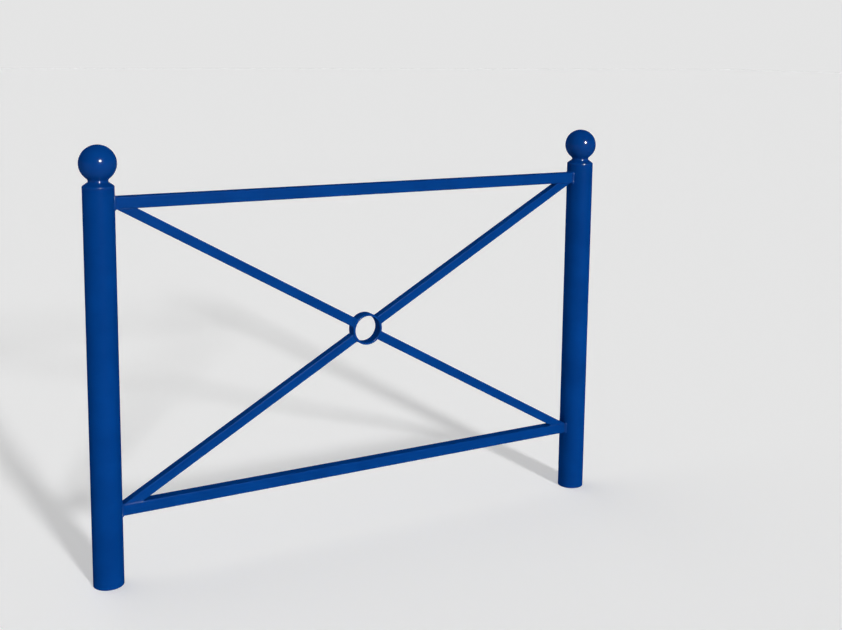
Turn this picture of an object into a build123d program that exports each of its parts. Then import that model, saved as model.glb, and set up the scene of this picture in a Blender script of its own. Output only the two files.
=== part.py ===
from build123d import *
from math import copysign, radians, sqrt, tan
import os

# A pedestrian barrier: two round posts with ball finials, a top and a bottom rail, and four
# braces that meet at a ring. Everything is steel tube, welded and powder-coated in one colour.
# The panel lies in the XZ plane. The origin is on the left post's axis at ground level,
# +X runs to the right post and +Z is up. All sizes are in millimetres.

# Posts: round tube, cut square; the broken edge at the top leaves a fine groove under the collar
post_diameter = 76
post_wall = 3
post_rise_above_rail = 35
post_spacing = 1424
edge_break = 0.5

# Collars: a cored spigot in the tube, a land flush with it, a rounded edge, a cone and a neck
spigot_length = 30
spigot_wall = 6
spigot_clearance = 0.3
collar_land = 7
collar_edge_radius = 5
collar_cone_angle = 35
neck_diameter = 48
neck_cove_radius = 4
collar_bore = 18

# Balls: pressed hollow balls, vented through the collar and set in a dish in its neck
ball_diameter = 90
ball_wall = 3
ball_centre_rise = 61
ball_vent = 12

# Rails: square tube between the posts, placed by their axes
rail_size = 30
rail_wall = 2
rail_corner = 3
rail_inner_corner = 1
bottom_rail_height = 190
rail_spacing = 770

# Braces: slimmer square tube from the corners of the frame to the ring
brace_size = 25
brace_wall = 2
brace_corner = 2.5
brace_inner_corner = 0.6

# Ring: a short piece of thick round tube, its axis across the panel
ring_diameter = 86
ring_wall = 6
ring_depth = 32
ring_edge_radius = 1.5

# Welds: flat fillet beads, and the fit-up gap left between pieces that are welded together
rail_weld_leg = 4
brace_weld_radius = 2.5
ring_weld_leg = 3
ball_weld_leg = 2.5
fit_up_gap = 0.2

# Values that follow from these sizes
top_rail_height = bottom_rail_height + rail_spacing
post_height = top_rail_height + post_rise_above_rail
post_radius = post_diameter / 2
neck_radius = neck_diameter / 2
ball_radius = ball_diameter / 2
ring_radius = ring_diameter / 2
panel_centre = Vector(post_spacing / 2, 0, (top_rail_height + bottom_rail_height) / 2)
post_axes = {"left": 0, "right": post_spacing}
rail_heights = {"top": top_rail_height, "bottom": bottom_rail_height}


def square_bar(start, end, size, corner):
    """A solid square bar with rounded corners, laid along a line in the panel."""
    run = end - start
    section_plane = Plane(origin=start, x_dir=(0, 1, 0), z_dir=run)
    return extrude(section_plane * RectangleRounded(size, size, corner), run.length)


def post_outline(side, clearance=0):
    """The full round of one post, from below the ground line to above its top."""
    reach = 2 * post_height
    return Pos(post_axes[side], 0, post_height / 2) * Cylinder(post_radius + clearance, reach)


def rail_outline(level, clearance=0):
    """The outer shape of one rail, run on to both post axes."""
    height = rail_heights[level]
    start = Vector(0, 0, height)
    end = Vector(post_spacing, 0, height)
    return square_bar(start, end, rail_size + 2 * clearance, rail_corner + clearance)


def brace_ends(level, side):
    """The ring's centre, and the point where the rail's axis meets the face of the post."""
    towards_panel = 1 if side == "left" else -1
    post_face = post_axes[side] + towards_panel * post_radius
    return panel_centre, Vector(post_face, 0, rail_heights[level])


def brace_outline(level, side, clearance=0):
    """The outer shape of one brace, run on to the ring's centre and to the rail's axis."""
    size = brace_size + 2 * clearance
    return square_bar(*brace_ends(level, side), size, brace_corner + clearance)


def ring_outline(length, clearance=0):
    """The outer round of the ring, for a given length along its axis."""
    return Pos(*panel_centre) * Rot(90, 0, 0) * Cylinder(ring_radius + clearance, length)


def make_post(side):
    """A round tube, open at the ground line, where its foot face is the mounting face."""
    bore = post_radius - post_wall
    tube = Cylinder(post_radius, post_height) - Cylinder(bore, post_height)
    top_rim = tube.edges().group_by(Axis.Z)[-1].sort_by(SortBy.RADIUS)[-1]
    tube = chamfer(top_rim, edge_break)
    return Pos(post_axes[side], 0, post_height / 2) * tube


def make_collar(side):
    """A turned cap: one profile revolved, cored below, dished for the ball and bored through."""
    spigot_radius = post_radius - post_wall - spigot_clearance
    core_radius = spigot_radius - spigot_wall
    cone_rise = (post_radius - neck_radius) * tan(radians(collar_cone_angle))
    land_base = (post_radius, 0)
    cone_base = (post_radius, collar_land)
    cone_top = (neck_radius, collar_land + cone_rise)
    outline = Polyline(
        (0, 0),
        (core_radius, 0),
        (core_radius, -spigot_length),
        (spigot_radius, -spigot_length),
        (spigot_radius, 0),
        land_base,
        cone_base,
        cone_top,
        (neck_radius, ball_centre_rise),
        (0, ball_centre_rise),
        close=True,
    )
    profile = make_face(outline)
    profile = chamfer(corner_at(profile, land_base), edge_break)
    profile = fillet(corner_at(profile, cone_base), collar_edge_radius)
    profile = fillet(corner_at(profile, cone_top), neck_cove_radius)
    collar = revolve(Plane.XZ * profile, Axis.Z)
    collar -= Pos(0, 0, ball_centre_rise) * Sphere(ball_radius + fit_up_gap)
    collar -= Cylinder(collar_bore / 2, 2 * ball_centre_rise)
    return Pos(post_axes[side], 0, post_height) * collar


def corner_at(profile, point):
    """The corner of a flat profile that lies nearest to a point."""
    return profile.vertices().sort_by_distance(point)[0]


def make_ball(side):
    """A hollow ball with a vent hole underneath, over the collar's bore."""
    ball = Sphere(ball_radius) - Sphere(ball_radius - ball_wall)
    ball -= Pos(0, 0, -ball_radius) * Cylinder(ball_vent / 2, ball_radius)
    return Pos(post_axes[side], 0, post_height + ball_centre_rise) * ball


def make_ball_weld(side):
    """The bead in the corner between the neck of the collar and the ball."""
    seat_drop = sqrt(ball_radius**2 - neck_radius**2)
    root = Vector(neck_radius, ball_centre_rise - seat_drop)
    down_neck = Vector(0, -ball_weld_leg)
    up_ball = Vector(seat_drop, neck_radius).normalized() * ball_weld_leg
    section = make_face(Polyline(root + down_neck, root + up_ball, root - down_neck, close=True))
    bead = revolve(Plane.XZ * section, Axis.Z)
    bead -= Pos(0, 0, ball_centre_rise) * Sphere(ball_radius + fit_up_gap)
    bead -= Cylinder(neck_radius + fit_up_gap, 2 * ball_centre_rise)
    return Pos(post_axes[side], 0, post_height) * bead


def make_rail(level):
    """A square tube, coped at both ends to sit against the round posts."""
    height = rail_heights[level]
    start = Vector(0, 0, height)
    end = Vector(post_spacing, 0, height)
    rail = rail_outline(level)
    rail -= square_bar(start, end, rail_size - 2 * rail_wall, rail_inner_corner)
    for side in post_axes:
        rail -= post_outline(side, fit_up_gap)
    return rail


def make_brace(level, side):
    """A square tube, mitred under the rail, clear of the post and coped to the ring."""
    bore_size = brace_size - 2 * brace_wall
    brace = brace_outline(level, side)
    brace -= square_bar(*brace_ends(level, side), bore_size, brace_inner_corner)
    brace &= between_rails()
    brace -= post_outline(side, fit_up_gap)
    brace -= ring_outline(2 * brace_size, fit_up_gap)
    return brace


def between_rails():
    """The block of space between the rails' facing sides, less the fit-up gap."""
    clear_height = top_rail_height - bottom_rail_height - rail_size - 2 * fit_up_gap
    return Pos(*panel_centre) * Box(post_spacing, 2 * rail_size, clear_height)


def make_ring():
    """A slice of thick tube with its four rims rounded."""
    ring = Cylinder(ring_radius, ring_depth) - Cylinder(ring_radius - ring_wall, ring_depth)
    ring = fillet(ring.edges().filter_by(GeomType.CIRCLE), ring_edge_radius)
    return Pos(*panel_centre) * Rot(90, 0, 0) * ring


def fillet_bead(carrier, bar, leg):
    """The weld metal in the corner where a bar runs into its carrier, as a flat fillet."""
    joint = carrier + bar
    root = new_edges(carrier, bar, combined=joint)
    return chamfer(root, leg) - joint


def make_rail_weld(level, side):
    """The bead round one end of a rail, kept off the post, the rail and the brace."""
    bead = fillet_bead(post_outline(side), rail_outline(level), rail_weld_leg)
    bead -= post_outline(side, fit_up_gap)
    bead -= rail_outline(level, fit_up_gap)
    bead -= brace_outline(level, side, fit_up_gap)
    return bead


def make_brace_weld(level, side):
    """One weld run: along the front of the brace's mitre, across its toe and along the back."""
    centre, corner = brace_ends(level, side)
    slope = (corner - centre).normalized()
    mitre_height = corner.Z - copysign(rail_size / 2, slope.Z)
    mitre_middle = centre.X + slope.X * (mitre_height - centre.Z) / slope.Z
    half_brace = brace_size / 2
    half_mitre = copysign(half_brace / slope.Z, slope.X)
    toe = mitre_middle - half_mitre
    heel = mitre_middle + half_mitre
    run = Polyline(
        (heel, -half_brace, mitre_height),
        (toe, -half_brace, mitre_height),
        (toe, half_brace, mitre_height),
        (heel, half_brace, mitre_height),
    )
    start_plane = Plane(origin=run @ 0, z_dir=run % 0)
    bead = sweep(start_plane * Circle(brace_weld_radius), run, transition=Transition.ROUND)
    bead -= rail_outline(level, fit_up_gap)
    bead -= brace_outline(level, side, fit_up_gap)
    bead -= post_outline(side, fit_up_gap)
    return bead - fillet_bead(post_outline(side), rail_outline(level), rail_weld_leg + fit_up_gap)


def make_ring_weld(level, side):
    """The bead round one brace at the ring, no wider than the ring is deep."""
    bead = fillet_bead(ring_outline(2 * ring_depth), brace_outline(level, side), ring_weld_leg)
    bead -= ring_outline(2 * ring_depth, fit_up_gap)
    bead -= brace_outline(level, side, fit_up_gap)
    width = ring_depth - 2 * ring_edge_radius
    return bead & Pos(*panel_centre) * Box(post_spacing, width, top_rail_height)


def make_all():
    """Every piece of the barrier under the name of its node."""
    pieces = {"centre_ring": make_ring()}
    for side in post_axes:
        pieces[f"{side}_post"] = make_post(side)
        pieces[f"{side}_collar"] = make_collar(side)
        pieces[f"{side}_ball"] = make_ball(side)
        pieces[f"{side}_ball_weld"] = make_ball_weld(side)
    for level in rail_heights:
        pieces[f"{level}_rail"] = make_rail(level)
        for side in post_axes:
            pieces[f"{level}_{side}_brace"] = make_brace(level, side)
            pieces[f"{level}_{side}_rail_weld"] = make_rail_weld(level, side)
            pieces[f"{level}_{side}_brace_weld"] = make_brace_weld(level, side)
            pieces[f"{level}_{side}_ring_weld"] = make_ring_weld(level, side)
    return pieces


os.makedirs("parts", exist_ok=True)
for node, piece in make_all().items():
    export_step(piece, f"parts/{node}.step")
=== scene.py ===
import math

import bmesh
import bpy
from mathutils import Matrix, Vector


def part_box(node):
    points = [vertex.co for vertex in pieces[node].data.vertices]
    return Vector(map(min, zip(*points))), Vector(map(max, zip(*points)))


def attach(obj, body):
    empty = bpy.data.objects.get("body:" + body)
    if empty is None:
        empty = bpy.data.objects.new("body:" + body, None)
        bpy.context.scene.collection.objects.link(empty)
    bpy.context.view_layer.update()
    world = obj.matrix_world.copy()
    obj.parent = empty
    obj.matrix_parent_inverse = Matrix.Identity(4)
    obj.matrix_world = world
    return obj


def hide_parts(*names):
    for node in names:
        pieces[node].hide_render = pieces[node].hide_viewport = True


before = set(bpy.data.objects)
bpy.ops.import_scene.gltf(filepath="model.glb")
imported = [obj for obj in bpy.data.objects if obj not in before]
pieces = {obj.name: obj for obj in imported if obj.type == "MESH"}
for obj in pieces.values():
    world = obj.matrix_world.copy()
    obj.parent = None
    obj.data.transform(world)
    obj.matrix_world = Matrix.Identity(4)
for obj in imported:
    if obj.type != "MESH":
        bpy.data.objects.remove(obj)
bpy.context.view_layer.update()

# Posts
# Each post is a length of 76 mm round steel tube with a 3 mm wall, cut square at both ends.
# The welded barrier is blasted, sprayed with blue polyester powder and baked, so the paint is
# one glossy film with a faint orange peel, and the long lines of the drawn tube show through.
paint_light = (0.0010, 0.046, 0.235, 1.0)
paint_dark = (0.0007, 0.038, 0.200, 1.0)
paint_roughness = (0.35, 0.45)
paint_reflection = 0.0
gloss_ior = 4.0
tube_gloss = (0.001, 0.30)
cloud_size = 0.09
gloss_patch_size = 0.02
peel_size = 0.0026
peel_depth = 0.000016
draw_line_width = 0.004
draw_line_depth = 0.00003
draw_line_stretch = 0.03
noise_low = 0.3
noise_high = 0.7
noise_middle = 0.5


def add_node(tree, kind, inputs=None, **settings):
    """A new node, with its settings made and each input given a value or joined to a socket."""
    made = tree.nodes.new(kind)
    for setting, value in settings.items():
        setattr(made, setting, value)
    for socket, source in (inputs or {}).items():
        if isinstance(source, bpy.types.NodeSocket):
            tree.links.new(source, made.inputs[socket])
        else:
            made.inputs[socket].default_value = source
    return made


def blotches(tree, place, size, detail=2.0):
    """A grey noise whose blotches are about as wide as the given size in metres."""
    inputs = {"Vector": place, "Scale": 1 / size, "Detail": detail}
    return add_node(tree, "ShaderNodeTexNoise", inputs).outputs[0]


def spread(tree, value, low, high):
    """The middle of a noise's range, spread evenly from a low to a high value."""
    inputs = {
        "Value": value,
        "From Min": noise_low,
        "From Max": noise_high,
        "To Min": low,
        "To Max": high,
    }
    return add_node(tree, "ShaderNodeMapRange", inputs).outputs[0]


def raise_surface(tree, height, depth, below=None):
    """A bump of the given depth in metres, laid over another bump where there is one."""
    inputs = {"Height": height, "Distance": depth}
    if below is not None:
        inputs["Normal"] = below
    return add_node(tree, "ShaderNodeBump", inputs).outputs[0]


def powder_coat(name, relief_below, gloss):
    """Blue powder coat on steel, whose own relief shows faintly through the paint.

    The gloss is a pair, the weight and the roughness of the clear coat. It is far fainter than
    on real powder coat, and its refraction index far higher, so that edges stay dark against a
    pale backdrop. Both were chosen, not measured.
    """
    gloss_weight, gloss_roughness = gloss
    material = bpy.data.materials.new(name)
    material.use_nodes = True
    tree = material.node_tree
    tree.nodes.clear()
    place = add_node(tree, "ShaderNodeTexCoord").outputs["Object"]
    clouds = spread(tree, blotches(tree, place, cloud_size), 0, 1)
    inputs = {"Factor": clouds, 6: paint_dark, 7: paint_light}
    colour = add_node(tree, "ShaderNodeMix", inputs, data_type="RGBA").outputs[2]
    steel = relief_below(tree, place)
    film = raise_surface(tree, blotches(tree, place, peel_size), peel_depth, steel)
    roughness = spread(tree, blotches(tree, place, gloss_patch_size, 4.0), *paint_roughness)
    inputs = {
        "Base Color": colour,
        "Roughness": roughness,
        "Specular IOR Level": paint_reflection,
        "Normal": film,
        "Coat Weight": gloss_weight,
        "Coat Roughness": gloss_roughness,
        "Coat IOR": gloss_ior,
        "Coat Normal": film,
    }
    shader = add_node(tree, "ShaderNodeBsdfPrincipled", inputs)
    add_node(tree, "ShaderNodeOutputMaterial", {"Surface": shader.outputs[0]})
    return material


def paint(material, *names):
    """Gives pieces of the frame their finish."""
    for name in names:
        pieces[name].material_slots[0].material = material


def drawn_tube(lean):
    """The long shallow lines of drawn tube that leans by an angle from upright, in the panel."""

    def relief(tree, place):
        inputs = {"Vector": place, "Rotation": (0, -lean, 0)}
        upright = add_node(tree, "ShaderNodeMapping", inputs).outputs[0]
        inputs = {"Vector": upright, "Scale": (1, 1, draw_line_stretch)}
        stretched = add_node(tree, "ShaderNodeMapping", inputs).outputs[0]
        lines = blotches(tree, stretched, draw_line_width)
        return raise_surface(tree, lines, draw_line_depth)

    return relief


paint(powder_coat("post_paint", drawn_tube(0), tube_gloss), "left_post", "right_post")

# Collars
# Each collar is turned on a lathe from solid steel: a spigot that fits in the tube, a rounded
# edge, a cone and a short neck. It is pressed into the post before painting, so only the
# faint rings of the turning tool are left under the paint.
turning_pitch = 0.0009
turning_depth = 0.000006
turning_waver = 0.6
collar_gloss = (0.0133, 0.13)
wave_pitch_at_scale_one = math.pi / 10


def turned_steel(tree, place):
    """Fine rings round the upright axis, one above the other."""
    scale = wave_pitch_at_scale_one / turning_pitch
    inputs = {"Vector": place, "Scale": scale, "Distortion": turning_waver}
    rings = add_node(tree, "ShaderNodeTexWave", inputs, bands_direction="Z")
    return raise_surface(tree, rings.outputs[1], turning_depth)


paint(powder_coat("collar_paint", turned_steel, collar_gloss), "left_collar", "right_collar")

# Balls
# Each ball is pressed from 3 mm sheet in two halves, welded, ground and polished to a sphere,
# and sits in the dished neck of its collar. The pressing leaves wide and very shallow dents,
# which show only as a slight unrest in the reflections.
dent_size = 0.018
dent_depth = 0.00005
ball_gloss = (0.0133, 0.13)


def pressed_sheet(tree, place):
    """Wide, very shallow unevenness, as in pressed and ground sheet steel."""
    return raise_surface(tree, blotches(tree, place, dent_size, 1.0), dent_depth)


paint(powder_coat("ball_paint", pressed_sheet, ball_gloss), "left_ball", "right_ball")

# Rails
# The top and the bottom rail are 30 mm square steel tube with rounded edges, coped at both
# ends to fit the round posts, and welded to them from the outside.
rail_paint = powder_coat("rail_paint", drawn_tube(math.pi / 2), tube_gloss)
paint(rail_paint, "top_rail", "bottom_rail")

# Ring
# The ring in the middle of the panel is a slice of thick tube, faced on a lathe, and its
# four rims are rounded by hand so that nobody is cut on them.
ring_gloss = (0.0055, 0.10)
ring_low, ring_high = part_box("centre_ring")
ring_centre = (ring_low + ring_high) / 2
ring_radius = (ring_high.z - ring_low.z) / 2

paint(powder_coat("ring_paint", pressed_sheet, ring_gloss), "centre_ring")

# Braces
# Four lengths of 25 mm square tube run from the ring to the corners of the frame. Each is
# coped to the ring at one end and mitred against a rail at the other.
levels = ("top", "bottom")
sides = ("left", "right")
post_low, post_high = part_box("left_post")
post_radius = (post_high.x - post_low.x) / 2


def middle(name):
    """The middle of one piece of the frame."""
    low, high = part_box(name)
    return (low + high) / 2


def post_axis(side):
    """The point at ground level where the axis of one post stands."""
    centre = middle(f"{side}_post")
    return Vector((centre.x, centre.y, 0))


def towards_panel(side):
    """The sign of the way from one post to the panel."""
    return 1 if side == "left" else -1


def brace_slope(level, side):
    """The way from the ring's centre to where the rail's axis meets the face of the post."""
    reach = Vector((towards_panel(side) * post_radius, 0, middle(f"{level}_rail").z))
    return (post_axis(side) + reach - ring_centre).normalized()


for level in levels:
    for side in sides:
        slope = brace_slope(level, side)
        lean = math.atan2(slope.x, slope.z)
        brace = f"{level}_{side}_brace"
        paint(powder_coat(f"{brace}_paint", drawn_tube(lean), tube_gloss), brace)

# Weld beads
# Every joint is closed by a fillet weld, laid by hand in one run: round each rail where it
# meets the post, round each brace at the ring, along each mitre, and under each ball. A bead
# is a row of overlapping ripples, uneven in width, and softened by the paint over it.
rail_weld_leg = 0.0040
mitre_weld_leg = 0.0021
ring_weld_leg = 0.0027
ball_weld_leg = 0.0022
weld_root_depth = 0.0003
weld_step = 0.0004
weld_arc_points = 9
weld_flatness = 0.55
ripple_pitch = 0.0023
ripple_height = 0.15
ripple_bow = 0.9
ripple_chance = (0.45, 1.0)
lump_size = 0.009
lump_height = 0.8
grit_size = 0.0012
grit_depth = 0.000008
weld_gloss = (0.028, 0.13)


def maths(tree, operation, first, second=0.0):
    """One sum, product or other operation on numbers."""
    return add_node(tree, "ShaderNodeMath", {0: first, 1: second}, operation=operation).outputs[0]


def vectors(tree, operation, first, second):
    """One operation on two directions or places."""
    inputs = {0: first, 1: second}
    return add_node(tree, "ShaderNodeVectorMath", inputs, operation=operation).outputs


def scaled(tree, vector, factor):
    """A direction or place times a number."""
    inputs = {0: vector, "Scale": factor}
    return add_node(tree, "ShaderNodeVectorMath", inputs, operation="SCALE").outputs[0]


def way_off(tree, along, face, other_face):
    """The way across a weld on one piece's face, pointing off the other piece."""
    across = vectors(tree, "CROSS_PRODUCT", along, face)[0]
    unit = vectors(tree, "NORMALIZE", across, across)[0]
    facing = vectors(tree, "DOT_PRODUCT", unit, other_face)["Value"]
    return scaled(tree, unit, maths(tree, "SIGN", facing))


def named_direction(tree, name):
    """A direction that the joint's line carries."""
    inputs = {"Name": name}
    return add_node(tree, "GeometryNodeInputNamedAttribute", inputs, data_type="FLOAT_VECTOR").outputs[0]


def captured(tree, geometry, **values):
    """Geometry that keeps values through later changes, as a node with an output for each."""
    node = add_node(tree, "GeometryNodeCaptureAttribute", {"Geometry": geometry})
    for name, (kind, source) in values.items():
        node.capture_items.new(kind, name)
        tree.links.new(source, node.inputs[name])
    return node


def weld_bead_tree():
    """Lays a rippled fillet along the line where a bar meets the piece that carries it.

    The bead's section is a quarter of a disc, somewhat flattened, with its point in the root
    and its legs on the two faces. The ripples swell it along its length.
    """
    tree = bpy.data.node_groups.new("weld_bead", "GeometryNodeTree")
    socket = tree.interface.new_socket
    socket("Joint", in_out="INPUT", socket_type="NodeSocketGeometry")
    for size in ("Leg", "Root Depth", "Step", "Ripple Pitch", "Ripple Height", "Lump Height"):
        socket(size, in_out="INPUT", socket_type="NodeSocketFloat")
    socket("Seed", in_out="INPUT", socket_type="NodeSocketInt")
    socket("Paint", in_out="INPUT", socket_type="NodeSocketMaterial")
    socket("Bead", in_out="OUTPUT", socket_type="NodeSocketGeometry")
    given = tree.nodes.new("NodeGroupInput").outputs

    line = add_node(tree, "GeometryNodeMeshToCurve", {"Mesh": given["Joint"]}).outputs[0]
    inputs = {"Curve": line, "Length": given["Step"]}
    steps = add_node(tree, "GeometryNodeResampleCurve", inputs, mode="LENGTH").outputs[0]
    position = add_node(tree, "GeometryNodeInputPosition").outputs[0]
    tangent = add_node(tree, "GeometryNodeInputTangent").outputs[0]
    length = add_node(tree, "GeometryNodeSplineParameter").outputs["Length"]
    root = captured(
        tree,
        steps,
        Root=("VECTOR", position),
        Along=("VECTOR", tangent),
        Travel=("FLOAT", length),
    )
    inputs = {"Resolution": weld_arc_points, "Sweep Angle": math.pi / 2, "Connect Center": True}
    quarter = add_node(tree, "GeometryNodeCurveArc", inputs).outputs[0]
    section = captured(tree, quarter, Section=("VECTOR", position))
    inputs = {"Curve": root.outputs[0], "Profile Curve": section.outputs[0], "Fill Caps": True}
    skin = add_node(tree, "GeometryNodeCurveToMesh", inputs).outputs[0]

    share = add_node(tree, "ShaderNodeSeparateXYZ", {0: section.outputs["Section"]}).outputs
    bulge = maths(tree, "MAXIMUM", maths(tree, "ADD", share["X"], share["Y"]), 1.0)
    bow = maths(tree, "MULTIPLY", maths(tree, "SUBTRACT", bulge, 1.0), ripple_bow)
    turns = maths(tree, "DIVIDE", root.outputs["Travel"], given["Ripple Pitch"])
    phase = maths(tree, "ADD", turns, bow)
    dome = maths(tree, "ABSOLUTE", maths(tree, "SINE", maths(tree, "MULTIPLY", phase, math.pi)))
    inputs = {
        2: ripple_chance[0],
        3: ripple_chance[1],
        "ID": maths(tree, "FLOOR", phase),
        "Seed": given["Seed"],
    }
    chance = add_node(tree, "FunctionNodeRandomValue", inputs).outputs[1]
    ripple = maths(tree, "MULTIPLY", maths(tree, "MULTIPLY", dome, chance), given["Ripple Height"])
    inputs = {
        "Vector": root.outputs["Root"],
        "W": given["Seed"],
        "Scale": 1 / lump_size,
        "Detail": 1.0,
    }
    lumps = add_node(tree, "ShaderNodeTexNoise", inputs, noise_dimensions="4D").outputs[0]
    lump = maths(tree, "MULTIPLY", maths(tree, "SUBTRACT", lumps, noise_middle), given["Lump Height"])
    swell = maths(tree, "ADD", maths(tree, "ADD", ripple, lump), 1.0)
    flat = maths(tree, "POWER", bulge, -weld_flatness)
    reach = maths(tree, "MULTIPLY", maths(tree, "MULTIPLY", swell, flat), given["Leg"])

    carrier_face = named_direction(tree, "carrier_face")
    bar_face = named_direction(tree, "bar_face")
    along = root.outputs["Along"]
    on_carrier = way_off(tree, along, carrier_face, bar_face)
    on_bar = way_off(tree, along, bar_face, carrier_face)
    place = root.outputs["Root"]
    for way, part in ((on_carrier, share["X"]), (on_bar, share["Y"])):
        depth = maths(tree, "SUBTRACT", maths(tree, "MULTIPLY", part, reach), given["Root Depth"])
        place = vectors(tree, "ADD", place, scaled(tree, way, depth))[0]

    bead = add_node(tree, "GeometryNodeSetPosition", {"Geometry": skin, "Position": place}).outputs[0]
    smooth = add_node(tree, "GeometryNodeSetShadeSmooth", {"Geometry": bead}).outputs[0]
    real = add_node(tree, "GeometryNodeRealizeInstances", {"Geometry": smooth}).outputs[0]
    inputs = {"Geometry": real, "Material": given["Paint"]}
    painted = add_node(tree, "GeometryNodeSetMaterial", inputs).outputs[0]
    add_node(tree, "NodeGroupOutput", {0: painted})
    return tree


def weld_metal(tree, place):
    """The fine grit of weld metal."""
    return raise_surface(tree, blotches(tree, place, grit_size, 3.0), grit_depth)


weld_tree = weld_bead_tree()
weld_paint = powder_coat("weld_paint", weld_metal, weld_gloss)


def joint_line(name, joint, closed):
    """The line where two pieces meet, as an object that carries the direction of both faces."""
    mesh = bpy.data.meshes.new(name)
    edges = [(i, i + 1) for i in range(len(joint) - 1)]
    if closed:
        edges.append((len(joint) - 1, 0))
    mesh.from_pydata([place for place, _, _ in joint], edges, [])
    for label, column in (("carrier_face", 1), ("bar_face", 2)):
        directions = mesh.attributes.new(label, "FLOAT_VECTOR", "POINT")
        for entry, spot in zip(directions.data, joint):
            entry.vector = spot[column]
    line = bpy.data.objects.new(name, mesh)
    bpy.context.scene.collection.objects.link(line)
    return line


def lay_weld(name, node, joint, leg, seed, closed=False):
    """Lays one bead along a joint, in place of the plain fillet of the frame."""
    bead = joint_line(name, joint, closed)
    modifier = bead.modifiers.new("weld", "NODES")
    modifier.node_group = weld_tree
    values = {
        "Leg": leg,
        "Root Depth": weld_root_depth,
        "Step": weld_step,
        "Ripple Pitch": ripple_pitch,
        "Ripple Height": ripple_height,
        "Lump Height": lump_height,
        "Seed": seed,
        "Paint": weld_paint,
    }
    for item in weld_tree.interface.items_tree:
        if item.name in values:
            modifier[item.identifier] = values[item.name]
    evaluated = bead.evaluated_get(bpy.context.evaluated_depsgraph_get())
    laid = bpy.data.meshes.new_from_object(evaluated)
    bead.modifiers.clear()
    bead.data = laid
    for label in ("carrier_face", "bar_face"):
        laid.attributes.remove(laid.attributes[label])
    skin = bmesh.new()
    skin.from_mesh(laid)
    bmesh.ops.recalc_face_normals(skin, faces=skin.faces)
    skin.to_mesh(laid)
    skin.free()
    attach(bead, "root")
    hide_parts(node)


side_steps = 4
corner_steps = 6


def square_outline(half, corner):
    """Places and outward directions round a square tube, from the middle of its lower side."""
    flat = half - corner
    outline = []
    for quarter in range(4):
        facing = math.radians(90 * quarter - 90)
        out = Vector((math.cos(facing), math.sin(facing)))
        onward = Vector((-out.y, out.x))
        for i in range(side_steps):
            outline.append((out * half + onward * flat * i / side_steps, out))
        for i in range(corner_steps + 1):
            angle = facing + math.pi / 2 * i / corner_steps
            edge_out = Vector((math.cos(angle), math.sin(angle)))
            outline.append(((out + onward) * flat + edge_out * corner, edge_out))
        for i in range(1, side_steps):
            outline.append((onward * half + out * flat * (1 - i / side_steps), onward))
    return outline


rail_low, rail_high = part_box("top_rail")
rail_half = (rail_high.z - rail_low.z) / 2
rail_corner = 0.003
brace_low, brace_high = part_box("top_left_brace")
brace_half = (brace_high.y - brace_low.y) / 2
brace_corner = 0.0025
across = Vector((0, 1, 0))
mitre_face_tilt = 0.47
mitre_heel_limit = -0.5
neck_radius = 0.024
neck_steps = 72


def rail_joint(level, side):
    """Round the end of a rail on the post, from one flank of the brace to the other."""
    upward = 1 if level == "top" else -1
    axis = post_axis(side)
    height = middle(f"{level}_rail").z
    joint = []
    for spot, out in square_outline(rail_half, rail_corner):
        if spot.y < 0 and abs(spot.x) < brace_half:
            continue
        depth = math.sqrt(post_radius**2 - spot.x**2)
        reach = Vector((towards_panel(side) * depth, spot.x, 0))
        place = axis + reach + Vector((0, 0, height + upward * spot.y))
        joint.append((place, reach.normalized(), Vector((0, out.x, upward * out.y))))
    return joint


def ring_joint(level, side):
    """Round the end of a brace on the outside of the ring."""
    slope = brace_slope(level, side)
    over = slope.cross(across)
    joint = []
    for spot, out in square_outline(brace_half, brace_corner):
        reach = slope * math.sqrt(ring_radius**2 - spot.y**2) + over * spot.y
        place = ring_centre + reach + across * spot.x
        joint.append((place, reach.normalized(), across * out.x + over * out.y))
    return joint


def mitre_joint(level, side):
    """Along the front of a brace's mitre, round its toe and back along the rear."""
    slope = brace_slope(level, side)
    rail_side = 1 if level == "top" else -1
    over = slope.cross(across)
    if over.z * rail_side < 0:
        over = -over
    height = middle(f"{level}_rail").z - rail_side * rail_half
    joint = []
    for spot, out in square_outline(brace_half, brace_corner):
        if out.y < mitre_heel_limit:
            continue
        start = ring_centre + across * spot.x + over * spot.y
        place = start + slope * (height - start.z) / slope.z
        face = Vector((0, mitre_face_tilt * out.x, -rail_side)).normalized()
        joint.append((place, face, across * out.x + over * out.y))
    return joint


def ball_joint(side):
    """Round the lip of the collar's neck, under the ball."""
    low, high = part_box(f"{side}_ball")
    ball_radius = (high.x - low.x) / 2
    centre = Vector(((low.x + high.x) / 2, 0, high.z - ball_radius))
    drop = math.sqrt(ball_radius**2 - neck_radius**2)
    joint = []
    for i in range(neck_steps):
        angle = 2 * math.pi * i / neck_steps
        outward = Vector((math.cos(angle), math.sin(angle), 0))
        reach = outward * neck_radius - Vector((0, 0, drop))
        joint.append((centre + reach, outward, reach.normalized()))
    return joint


mitre_seed = 10
ring_seed = 20
ball_seed = 30
corners = [(level, side) for level in levels for side in sides]
for number, (level, side) in enumerate(corners):
    at = f"{level}_{side}"
    joint = rail_joint(level, side)
    lay_weld(f"{at}_rail_bead", f"{at}_rail_weld", joint, rail_weld_leg, number)
    joint = mitre_joint(level, side)
    seed = mitre_seed + number
    lay_weld(f"{at}_mitre_bead", f"{at}_brace_weld", joint, mitre_weld_leg, seed)
    joint = ring_joint(level, side)
    seed = ring_seed + number
    lay_weld(f"{at}_ring_bead", f"{at}_ring_weld", joint, ring_weld_leg, seed, closed=True)
for number, side in enumerate(sides):
    joint = ball_joint(side)
    seed = ball_seed + number
    lay_weld(f"{side}_ball_bead", f"{side}_ball_weld", joint, ball_weld_leg, seed, closed=True)

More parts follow.
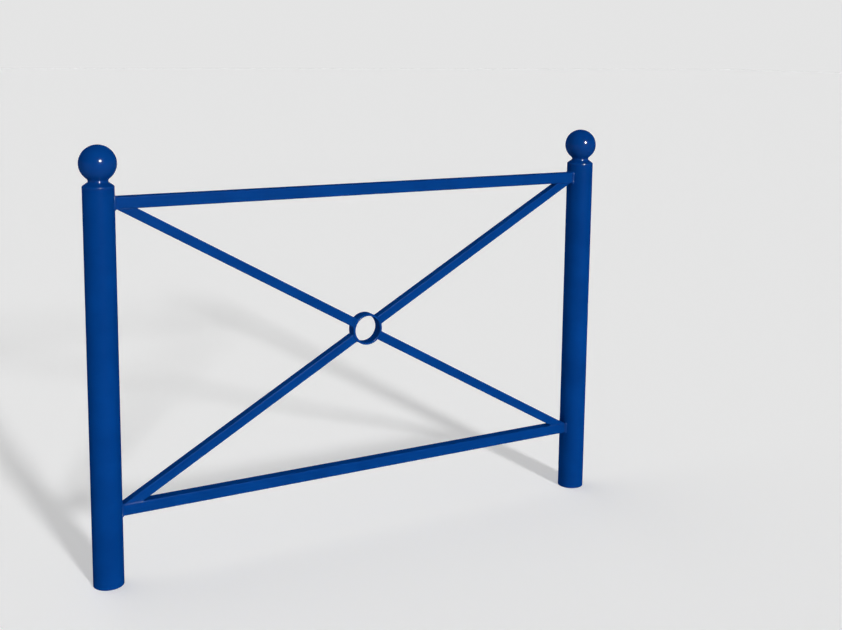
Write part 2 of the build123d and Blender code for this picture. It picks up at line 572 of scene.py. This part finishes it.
# Floor and backdrop
# A wide pale floor lies under the barrier and takes its shadow. The pale backdrop behind it
# darkens high above the horizon, so that the upper sides of the paint keep their deep blue.
floor_colour = (0.80, 0.80, 0.80, 1.0)
floor_lift = 0.30
backdrop = 0.78
backdrop_top = (0.04, 0.15)
ceiling = 0.06
room_light = 0.16
white = (1.0, 1.0, 1.0, 1.0)
floor_half = 60.0
floor_gap = 0.0005


def seen_directly(tree):
    """One for rays from the camera, in gloss or through glass, and nought for other light."""
    path = add_node(tree, "ShaderNodeLightPath").outputs
    straight = maths(tree, "MAXIMUM", path["Is Camera Ray"], path["Is Glossy Ray"])
    return maths(tree, "MAXIMUM", straight, path["Is Transmission Ray"])


floor_mesh = bpy.data.meshes.new("floor")
corners_of_floor = [(-1, -1), (1, -1), (1, 1), (-1, 1)]
floor_places = [(x * floor_half, y * floor_half, -floor_gap) for x, y in corners_of_floor]
floor_mesh.from_pydata(floor_places, [], [(0, 1, 2, 3)])
floor = bpy.data.objects.new("floor", floor_mesh)
bpy.context.scene.collection.objects.link(floor)
floor_paint = bpy.data.materials.new("floor_paint")
floor_paint.use_nodes = True
tree = floor_paint.node_tree
tree.nodes.clear()
matt = add_node(tree, "ShaderNodeBsdfDiffuse", {"Color": floor_colour})
lift_strength = maths(tree, "MULTIPLY", seen_directly(tree), floor_lift)
lift = add_node(tree, "ShaderNodeEmission", {"Color": white, "Strength": lift_strength})
both = add_node(tree, "ShaderNodeAddShader", {0: matt.outputs[0], 1: lift.outputs[0]})
add_node(tree, "ShaderNodeOutputMaterial", {"Surface": both.outputs[0]})
floor_mesh.materials.append(floor_paint)

world = bpy.data.worlds.new("studio")
bpy.context.scene.world = world
world.use_nodes = True
tree = world.node_tree
tree.nodes.clear()
direction = add_node(tree, "ShaderNodeTexCoord").outputs["Generated"]
height = add_node(tree, "ShaderNodeSeparateXYZ", {0: direction}).outputs["Z"]
inputs = {
    "Value": height,
    "From Min": backdrop_top[0],
    "From Max": backdrop_top[1],
    "To Min": backdrop,
    "To Max": ceiling,
}
fade = add_node(tree, "ShaderNodeMapRange", inputs, interpolation_type="SMOOTHSTEP").outputs[0]
inputs = {"Factor": seen_directly(tree), 2: room_light, 3: fade}
strength = add_node(tree, "ShaderNodeMix", inputs, data_type="FLOAT").outputs[0]
light = add_node(tree, "ShaderNodeBackground", {"Color": white, "Strength": strength})
add_node(tree, "ShaderNodeOutputWorld", {"Surface": light.outputs[0]})

# Lamps
# A low key lamp lights the front, from a few degrees off where the sun stood. The glint lamp
# has the same direction and shows in the gloss alone, for small hard glints. A wide soft fill
# lamp behind, which the gloss doesn't show, lets the rear read as well as the front.
key_height = math.radians(19.5)
key_side = math.radians(4)
key_strength = 2.7
key_width = math.radians(6)
glint_strength = 45.0
glint_width = math.radians(1.2)
fill_height = math.radians(32)
fill_side = math.radians(-145)
fill_strength = 0.9
fill_width = math.radians(80)


def add_lamp(name, side, height, strength, width):
    """A distant lamp, placed by its angle round from the front and its angle above the floor."""
    data = bpy.data.lights.new(name, "SUN")
    data.energy = strength
    data.angle = width
    lamp = bpy.data.objects.new(name, data)
    bpy.context.scene.collection.objects.link(lamp)
    flat = Vector((math.sin(side), -math.cos(side), 0)) * math.cos(height)
    towards = flat + Vector((0, 0, math.sin(height)))
    lamp.rotation_euler = towards.to_track_quat("Z", "Y").to_euler()
    return lamp


add_lamp("key", key_side, key_height, key_strength, key_width)
fill = add_lamp("fill", fill_side, fill_height, fill_strength, fill_width)
fill.visible_glossy = False
glint = add_lamp("glint", key_side, key_height, glint_strength, glint_width)
glint.visible_diffuse = False

# Camera
# The camera stands at eye height, left of the middle of the panel, and looks slightly down.
# Its picture is shifted down like the photograph's, but by less, so that views from the side
# hold the whole object. The posts therefore lean about one degree more than in the photograph.
picture_width = 842
sensor_width = 36.0
focal_length = 1133.021
camera_place = Vector((-0.635784, -2.710814, 1.337773))
camera_turn = 0.51022
camera_pitch = -0.1365
camera_roll = 0.01184
picture_shift = -112

camera_data = bpy.data.cameras.new("camera")
camera = bpy.data.objects.new("camera", camera_data)
bpy.context.scene.collection.objects.link(camera)
bpy.context.scene.camera = camera
camera_data.sensor_width = sensor_width
camera_data.lens = focal_length / picture_width * camera_data.sensor_width
camera_data.shift_y = picture_shift / picture_width
forward = Vector((
    math.sin(camera_turn) * math.cos(camera_pitch),
    math.cos(camera_turn) * math.cos(camera_pitch),
    math.sin(camera_pitch),
))
level_right = Vector((math.cos(camera_turn), -math.sin(camera_turn), 0))
level_up = level_right.cross(forward)
right = level_right * math.cos(camera_roll) + level_up * math.sin(camera_roll)
up = level_up * math.cos(camera_roll) - level_right * math.sin(camera_roll)
turned = Matrix((right, up, -forward)).transposed().to_4x4()
camera.matrix_world = Matrix.Translation(camera_place) @ turned

bpy.context.scene.view_settings.view_transform = "Standard"
